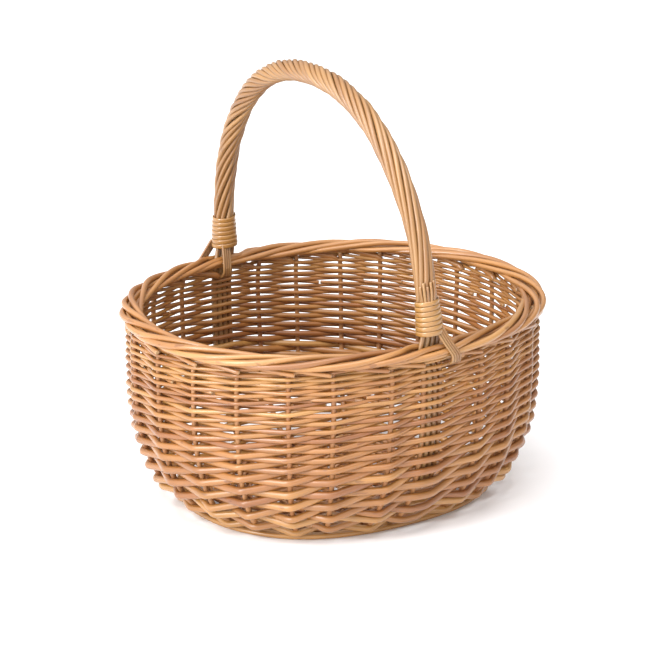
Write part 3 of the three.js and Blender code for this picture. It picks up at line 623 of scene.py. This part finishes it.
def rolled_rod(stake):
    size = random.uniform(*BORDER_SIZES)
    pace = random.uniform(*ROLL_PACES)
    places = ROLL_PLACES[0] + (ROLL_PLACES - ROLL_PLACES[0]) * pace
    on_roll = np.linspace(places[0], places[-1], ROLL_POINTS)
    angle = np.radians(np.interp(on_roll, places, ROLL_ANGLES))
    window = 2 * ROLL_SMOOTHING + 1
    angle = np.convolve(np.pad(angle, ROLL_SMOOTHING, mode="edge"), np.ones(window) / window, mode="valid")
    wave = ROLL_WAVE * wobble(on_roll, ROLL_WAVE_STAKES, ROLL_SEED + stake)
    lift = np.interp(on_roll, places, ROLL_LIFTS) + wave
    place = np.concatenate([STEM_PLACES, on_roll]) + stake
    offset = np.concatenate([STEM_OFFSETS, (BORDER_HALF_WIDTH + lift) * np.cos(angle)])
    rise = np.concatenate([STEM_RISES, (BORDER_HALF_HEIGHT + lift) * np.sin(angle)])
    path = rim_place(place, beside_legs(place, offset), RIM_HEIGHT + rise)[0]
    share = np.linspace(0, 1, len(place)) ** BORDER_TAPER_POWER
    radius = BORDER_RADIUS * size * mix(BORDER_START_SHARE, BORDER_END_SHARE, share)
    border.add(path, radius, rim_place(place, 0, 0)[1], sides=12)


def cut_end(stake):
    """The end of another rod, tucked out below the border and cut."""
    reach = random.uniform(*CUT_END_REACHES)
    place = stake_at(stake) + reach + CUT_END_PLACES
    drop = CUT_END_DROPS + random.uniform(*CUT_END_RISES)
    path = spline(rim_place(place, CUT_END_OFFSETS, RIM_HEIGHT + drop)[0], 4)
    side = rim_place(np.full(len(path), float(stake)), 0, 0)[1]
    border.add(path, random.uniform(*CUT_END_RADII), side)


for stake in range(STAKE_COUNT):
    rolled_rod(stake)
    cut_end(stake)
border.build("border", border_wood, [f"border_rod_{n}" for n in range(1, 7)])

# Base: sticks that cross in the middle and spread to the edge
SHORT_STICKS = 8
SHORT_STICK_PITCH = 16
SHORT_STICK_RADIUS = 2.6
LONG_STICKS = 3
LONG_STICK_PITCH = 8
LONG_STICK_RADIUS = 2.2
LONG_STICK_STAKES = 1.5  # between the ends of two long sticks
STICK_END_INSET = 2.9
FIRST_BACK_STAKE = 3
SLATH_MARGIN = 10
SHORT_HALF = (SHORT_STICKS - 1) / 2 * SHORT_STICK_PITCH
LONG_HALF = (LONG_STICKS - 1) / 2 * LONG_STICK_PITCH


def stick_end(stake):
    plan = oval(stake_angle(stake_at(stake)), BASE_HALF_LENGTH, BASE_HALF_WIDTH, BASE_POWER)
    plan = plan - unit(plan) * STICK_END_INSET
    return np.array([*plan, BASE_LEVEL])


base = Rods()
stick_ends = []
for number in range(SHORT_STICKS):
    x = number * SHORT_STICK_PITCH - SHORT_HALF
    back = FIRST_BACK_STAKE + SHORT_STICKS - 1 - number
    front = STAKE_COUNT // 2 + FIRST_BACK_STAKE + number
    bend = LONG_HALF + SLATH_MARGIN
    front_bend, back_bend = np.array([x, -bend, BASE_LEVEL]), np.array([x, bend, BASE_LEVEL])
    path = spline([stick_end(front), front_bend, back_bend, stick_end(back)], 8)
    base.add(path, SHORT_STICK_RADIUS, UP, sides=8)
    stick_ends += [(back, back_bend), (front, front_bend)]
for number in range(LONG_STICKS):
    place = number - (LONG_STICKS - 1) / 2
    right, left = LONG_STICK_STAKES * place, STAKE_COUNT / 2 - LONG_STICK_STAKES * place
    bend = SHORT_HALF + SLATH_MARGIN
    y = place * LONG_STICK_PITCH
    right_bend, left_bend = np.array([bend, y, BASE_LEVEL]), np.array([-bend, y, BASE_LEVEL])
    path = spline([stick_end(right), right_bend, left_bend, stick_end(left)], 8)
    base.add(path, LONG_STICK_RADIUS, UP, sides=8)
    stick_ends += [(right % STAKE_COUNT, right_bend), (left, left_bend)]
stick_ends.sort(key=lambda pair: pair[0])

# Base weavers: two rods that wind outwards, over one stick and under the next
BASE_ROWS = 15
BASE_START_ROW = 0.6
BASE_ROW_SPACES = BASE_ROWS + 0.1
BASE_WEAVER_RADIUS = 1.75
BASE_WAVE = 3.9
BASE_STEPS = 6  # from stick to stick
BASE_STRAIGHTNESS = 0.65
base_bends = np.array([bend for _, bend in stick_ends])
base_outs = np.array([stick_end(stake) for stake, _ in stick_ends])
spaces = len(stick_ends)
for phase in (0, 1):
    place = np.arange(0, (BASE_ROWS - 1) / 2 * spaces, 1 / BASE_STEPS)
    row = phase + 2 * place / spaces
    share = (row + BASE_START_ROW) / BASE_ROW_SPACES
    before = np.floor(place).astype(int) % spaces
    after = (before + 1) % spaces
    between = place - np.floor(place)
    ahead = mix(smooth(between), between, BASE_STRAIGHTNESS)[:, None]
    inner = mix(base_bends[before], base_bends[after], ahead)
    outer = mix(base_outs[before], base_outs[after], ahead)
    path = mix(inner, outer, share[:, None])
    path[:, 2] += BASE_WAVE * np.cos(math.pi * (place + phase))
    base.add(path, BASE_WEAVER_RADIUS, UP, sides=8)
base.build("base", stake_wood, ["base_sticks", "base_weaver_1", "base_weaver_2"])

# Handle's middle line
ARCH_SAMPLES = 4001
arch_angles = np.linspace(-math.pi / 2, math.pi / 2, ARCH_SAMPLES)
arch_rise = (HANDLE_HEIGHT - RIM_HEIGHT) * np.clip(np.cos(arch_angles), 0, 1) ** (2 / ARCH_SHOULDER)
arch_sine = np.sin(arch_angles)
arch_y = ARCH_HALF_SPAN * np.sign(arch_sine) * np.abs(arch_sine) ** (2 / ARCH_SPREAD)
arch_points = np.stack([ARCH_X - ARCH_LEAN * arch_rise, arch_y + ARCH_LEAN_BACK * arch_rise,
                        RIM_HEIGHT + arch_rise], -1)
arch_points = arch_points[arch_rise >= ARCH_START - RIM_HEIGHT]
arch_lengths = np.concatenate([[0], np.cumsum(np.linalg.norm(np.diff(arch_points, axis=0), axis=1))])
ARCH_LENGTH = arch_lengths[-1]
past_foot = smooth((arch_lengths - FOOT_SHIFT_START) / FOOT_SHIFT_LENGTH)
arch_points[:, 0] += FRONT_FOOT_SHIFT * (1 - past_foot)


def arch_place(way, radius, angle):
    """Points round the handle's middle line, the directions out of it and along it."""
    def at(w):
        return np.stack([np.interp(w, arch_lengths, arch_points[:, i]) for i in range(3)], -1)
    way = np.asarray(way, float)
    travel = unit(at(np.minimum(way + 1, ARCH_LENGTH)) - at(np.maximum(way - 1, 0)))
    across = unit(np.array([1.0, 0.0, 0.0]) - travel * travel[..., :1])
    over = np.cross(travel, across)
    out = across * np.cos(angle)[..., None] + over * np.sin(angle)[..., None]
    beyond = np.minimum(way, 0)[..., None] + np.maximum(way - ARCH_LENGTH, 0)[..., None]
    return at(way) + travel * beyond + out * np.asarray(radius)[..., None], out, travel


# Rods laid round the core: almost straight at the front foot, steepest over the top
ROPE_RODS = 10
ROPE_RADIUS = 2.45
ROPE_SIZES = (0.92, 1.1)  # shares of that radius
ROPE_RING = 8.1
ROPE_FOOT_SHARE = 0.93  # of the ring, at the front foot
ROPE_FOOT_LENGTH = 150
ROPE_MARGIN = 4
ROPE_POINTS = 240
ROPE_TURN_WAVE = 0.07
ROPE_TURN_LENGTH = 170
ROPE_RING_WAVE = 0.35
ROPE_RING_LENGTH = 140
ROPE_UNEVENNESS = 0.05
ROPE_UNEVEN_LENGTH = 90
LAY_SHARES = [0, 0.2, 0.35, 0.5, 0.62, 0.8, 1]
LAY_ANGLES = [4, 9, 17, 31, 28, 19, 9]

handle = Rods()
way = np.linspace(ROPE_MARGIN, ARCH_LENGTH - ROPE_MARGIN, ROPE_POINTS)
lay = np.tan(np.radians(np.interp(way / ARCH_LENGTH, LAY_SHARES, LAY_ANGLES)))
turning = np.concatenate([[0], np.cumsum((lay[1:] + lay[:-1]) / 2 * np.diff(way))]) / ROPE_RING
rope_ring = ROPE_RING * mix(ROPE_FOOT_SHARE, 1, smooth(way / ROPE_FOOT_LENGTH))
for number in range(ROPE_RODS):
    sway = ROPE_TURN_WAVE * wobble(way, ROPE_TURN_LENGTH, ROPE_TURN_SEED + number)
    angle = TURN * number / ROPE_RODS + turning + sway
    ring = rope_ring + ROPE_RING_WAVE * wobble(way, ROPE_RING_LENGTH, ROPE_RING_SEED + number)
    uneven = 1 + ROPE_UNEVENNESS * wobble(way, ROPE_UNEVEN_LENGTH, ROPE_THICKNESS_SEED + number)
    radius = ROPE_RADIUS * random.uniform(*ROPE_SIZES) * uneven
    path, out, travel = arch_place(way, ring, angle)
    handle.add(path, radius, out, sides=12)

# Core and legs: four rods at each foot, side by side in the wall beside the stake
LEG_RODS = 4
LEG_ROD_RADIUS = 2.45
LEG_ROD_SIZES = (0.95, 1.05)
LEG_CLIMBS = np.array([60, 100, 140, 165, 176])
LEG_RIM_OFFSET = -0.4
LEG_RIM_LEVEL = 188
LEG_TOP_SHARE = 0.93  # of their pitch, where they enter the binding
FRONT_RIM_SHIFT = np.array([0.8 * FRONT_FOOT_SHIFT, 0, 0])
CORE_SPREAD = 2.6
CORE_FOOT_WAYS = np.array([0, 10, 22])
CORE_MARGIN = 40
CORE_POINTS = 24
GATHERING = 26  # way over which the four gather to the core
BACK_LEG_EXTRA = 0.5  # in radius: at the back they stand close together in the wall
BACK_LEG_APPROACH = 10

core_ways = np.concatenate([
    CORE_FOOT_WAYS,
    np.linspace(CORE_MARGIN, ARCH_LENGTH - CORE_MARGIN, CORE_POINTS),
    ARCH_LENGTH - CORE_FOOT_WAYS[::-1],
])
gathered = smooth(np.minimum(core_ways, ARCH_LENGTH - core_ways) / GATHERING)
no_offset = np.zeros(len(core_ways))
core_middle, core_out, core_travel = arch_place(core_ways, no_offset, no_offset)
core_over = np.cross(core_travel, core_out)
for leg in range(LEG_RODS):
    standing = leg * LEG_STEP
    front, back = FRONT_LEG_STAKE + standing, BACK_LEG_STAKE - standing
    # the two inner rods go side by side into the core, the two outer ones over and under them
    spread = leg - (LEG_RODS - 1) / 2
    inner = abs(spread) < 1
    core_place = CORE_SPREAD * np.sign(spread)
    aside = mix(LEG_PITCH * LEG_TOP_SHARE * spread, core_place if inner else 0, gathered)
    above = mix(0, 0 if inner else core_place, gathered)
    path = spline(np.concatenate([
        wall_place(front, LEG_CLIMBS, 0)[0],
        rim_place([front], LEG_RIM_OFFSET, LEG_RIM_LEVEL)[0] + FRONT_RIM_SHIFT,
        core_middle + core_out * aside[:, None] + core_over * above[:, None],
        rim_place([back], LEG_RIM_OFFSET, LEG_RIM_LEVEL)[0],
        wall_place(back, LEG_CLIMBS[::-1], 0)[0],
    ]), 5)
    in_back_wall = (path[:, 1] > 0) * smooth((RIM_HEIGHT - path[:, 2]) / BACK_LEG_APPROACH)
    radius = LEG_ROD_RADIUS * random.uniform(*LEG_ROD_SIZES) + BACK_LEG_EXTRA * in_back_wall
    handle.add(path, radius, [1.0, 0, 0])

# Tips of the tying rods, held under the front binding
TIPS = 5
TIP_ANGLE = math.radians(-116)
TIP_SPACING = 0.3
TIP_START = 32
TIP_ENDS = (46, 53)
TIP_RING = 9.4
TIP_LIFT = 2.1
TIP_LIFT_LENGTH = 13
TIP_RADIUS = 1.6
TIP_END_RADIUS = 1.3
TIP_TAPER_LENGTH = 20
for number in range(TIPS):
    way = np.linspace(TIP_START, random.uniform(*TIP_ENDS), 8)
    ring = TIP_RING + TIP_LIFT * smooth((way - TIP_START) / TIP_LIFT_LENGTH)
    path, out, travel = arch_place(way, ring, TIP_ANGLE + TIP_SPACING * (number - TIPS // 2))
    radius = mix(TIP_RADIUS, TIP_END_RADIUS, (way - TIP_START) / TIP_TAPER_LENGTH)
    handle.add(path, radius, out, sides=8)
handle.build("handle", handle_wood, [
    *(f"handle_bow_rod_{n}" for n in range(1, 4)),
    *(f"handle_roping_rod_{n}" for n in range(1, 10)),
])

# Bindings of flat cane
BINDING_TURNS = 8
BINDING_HEIGHT = 36.5
BINDING_FOOT_RING = 13.1
BINDING_TOP_RING = 11.1
BINDING_WAVE = 0.12
BINDING_WAVE_TURNS = 1.7
BINDING_STEPS = 48  # in a turn
CANE_PROFILE = np.array([
    (-0.6, -0.3), (0.6, -0.3), (0.99, -0.16), (0.92, 0.08),
    (0.4, 0.16), (-0.4, 0.16), (-0.92, 0.08), (-0.99, -0.16),
])
for name, front in (("front", True), ("back", False)):
    binding = Rods()
    steps = np.arange(0, BINDING_TURNS - 1 + 1e-6, 1 / BINDING_STEPS)
    pitch = BINDING_HEIGHT / BINDING_TURNS
    climb = pitch * (steps + 0.5)
    way = climb if front else ARCH_LENGTH - climb
    wave = BINDING_WAVE * wobble(steps, BINDING_WAVE_TURNS, BINDING_SEED)
    ring = mix(BINDING_FOOT_RING, BINDING_TOP_RING, climb / BINDING_HEIGHT) + wave
    path, out, travel = arch_place(way, ring, TURN * steps * (1 if front else -1))
    binding.add(path, pitch / 2, out, profile=CANE_PROFILE, tips=(0.05, 0.05))
    binding.build(f"{name}_binding", cane, [f"{name}_cane_binding"])

# Ties: four thin rods side by side from the binding over the border
TIE_RODS = 4
TIE_RADIUS = 1.3
TIE_SHARES = np.array([0, 0.45, 0.85, 1.0, 1.03, 1.03])  # of the way along the border
TIE_OFFSETS = np.array([8.0, 11.6, 13.6, 14.3, 13.2, 9.5])
TIE_RISES = np.array([22.5, 10.0, 0.6, -4.0, -9.0, -12.0])
ties = Rods()


def tie(leg, start, end, outside):
    """From beside a leg to a place along the border, outside or inside it."""
    side = 1 if outside else -1
    for number in range(TIE_RODS):
        aside = (number - (TIE_RODS - 1) / 2) * 2 * TIE_RADIUS
        along = mix(start, end, TIE_SHARES) + aside
        path = rim_place(leg + along / STAKE_SPACING, TIE_OFFSETS * side, RIM_HEIGHT + TIE_RISES)[0]
        ties.add(spline(path, 6), TIE_RADIUS, rim_place([leg], 0, 0)[1][0], sides=8)


tie(FRONT_LEG, start=5, end=19, outside=True)
tie(BACK_LEG, start=3.5, end=18, outside=True)
tie(BACK_LEG, start=2, end=5, outside=False)
ties.build("ties", handle_wood, ["front_tie_outside", "back_tie_outside", "back_tie_inside"])

# Floor
PAPER_COLOUR = (0.9, 0.9, 0.91, 1)
PAPER_ROUGHNESS = 0.9
PAPER_SHINE = 0.1
bpy.ops.mesh.primitive_plane_add(size=14, location=(0, 0, 0))
floor = bpy.context.object
floor.name = "floor"
paper = bpy.data.materials.new("white_paper")
paper.use_nodes = True
paper_shader = paper.node_tree.nodes["Principled BSDF"]
paper_shader.inputs["Base Color"].default_value = PAPER_COLOUR
paper_shader.inputs["Roughness"].default_value = PAPER_ROUGHNESS
paper_shader.inputs["Specular IOR Level"].default_value = PAPER_SHINE
floor.data.materials.append(paper)

# Surround: a white room that is brightest on the left and above
BRIGHTEST_DIRECTION = Vector((-0.85, -0.15, 0.7)).normalized()
DARKEST_FACING = -0.6
DARKEST_STRENGTH = 0.25
BRIGHTEST_STRENGTH = 1.8
world = bpy.data.worlds.new("studio")
bpy.context.scene.world = world
world.use_nodes = True
sky = world.node_tree
facing = node(sky, "ShaderNodeVectorMath", operation="DOT_PRODUCT")
sky.links.new(node(sky, "ShaderNodeTexCoord").outputs["Generated"], facing.inputs[0])
facing.inputs[1].default_value = BRIGHTEST_DIRECTION
strength = node(sky, "ShaderNodeMapRange")
sky.links.new(facing.outputs["Value"], strength.inputs["Value"])
strength.inputs["From Min"].default_value = DARKEST_FACING
strength.inputs["From Max"].default_value = 1.0
strength.inputs["To Min"].default_value = DARKEST_STRENGTH
strength.inputs["To Max"].default_value = BRIGHTEST_STRENGTH
sky.links.new(strength.outputs["Result"], sky.nodes["Background"].inputs["Strength"])
sky.nodes["Background"].inputs["Color"].default_value = (1, 1, 1, 1)

# Lamps: a tall narrow one on the left and a square one above
LAMP_AIM = Vector((0, 0, 0.15))


def softbox(name, place, width, height, power):
    light = bpy.data.lights.new(name, "AREA")
    light.shape = "RECTANGLE"
    light.size = width
    light.size_y = height
    light.energy = power
    lamp = bpy.data.objects.new(name, light)
    bpy.context.scene.collection.objects.link(lamp)
    lamp.location = place
    lamp.rotation_euler = (LAMP_AIM - Vector(place)).to_track_quat("-Z", "Y").to_euler()


softbox("key", place=(-3.5, -0.3, 1.9), width=0.6, height=3.8, power=146)
softbox("top", place=(-0.5, -1.0, 3.4), width=2.6, height=2.6, power=67)

# Camera
level_share = math.cos(ELEVATION)
back = Vector((math.sin(AZIMUTH) * level_share, -math.cos(AZIMUTH) * level_share, math.sin(ELEVATION)))
right = Vector((math.cos(AZIMUTH), math.sin(AZIMUTH), 0))
above = back.cross(right)
target = Vector((CAMERA_X, 0, CAMERA_HEIGHT)) + right * CAMERA_SHIFT_RIGHT
lens = bpy.data.cameras.new("camera")
lens.lens = CAMERA_LENS
lens.sensor_width = CAMERA_SENSOR
camera = bpy.data.objects.new("camera", lens)
bpy.context.scene.collection.objects.link(camera)
turned = Matrix((right, above, back)).transposed().to_4x4()
turned.translation = target + back * CAMERA_DISTANCE
camera.matrix_world = turned
bpy.context.scene.camera = camera

bpy.context.scene.view_settings.view_transform = "Standard"
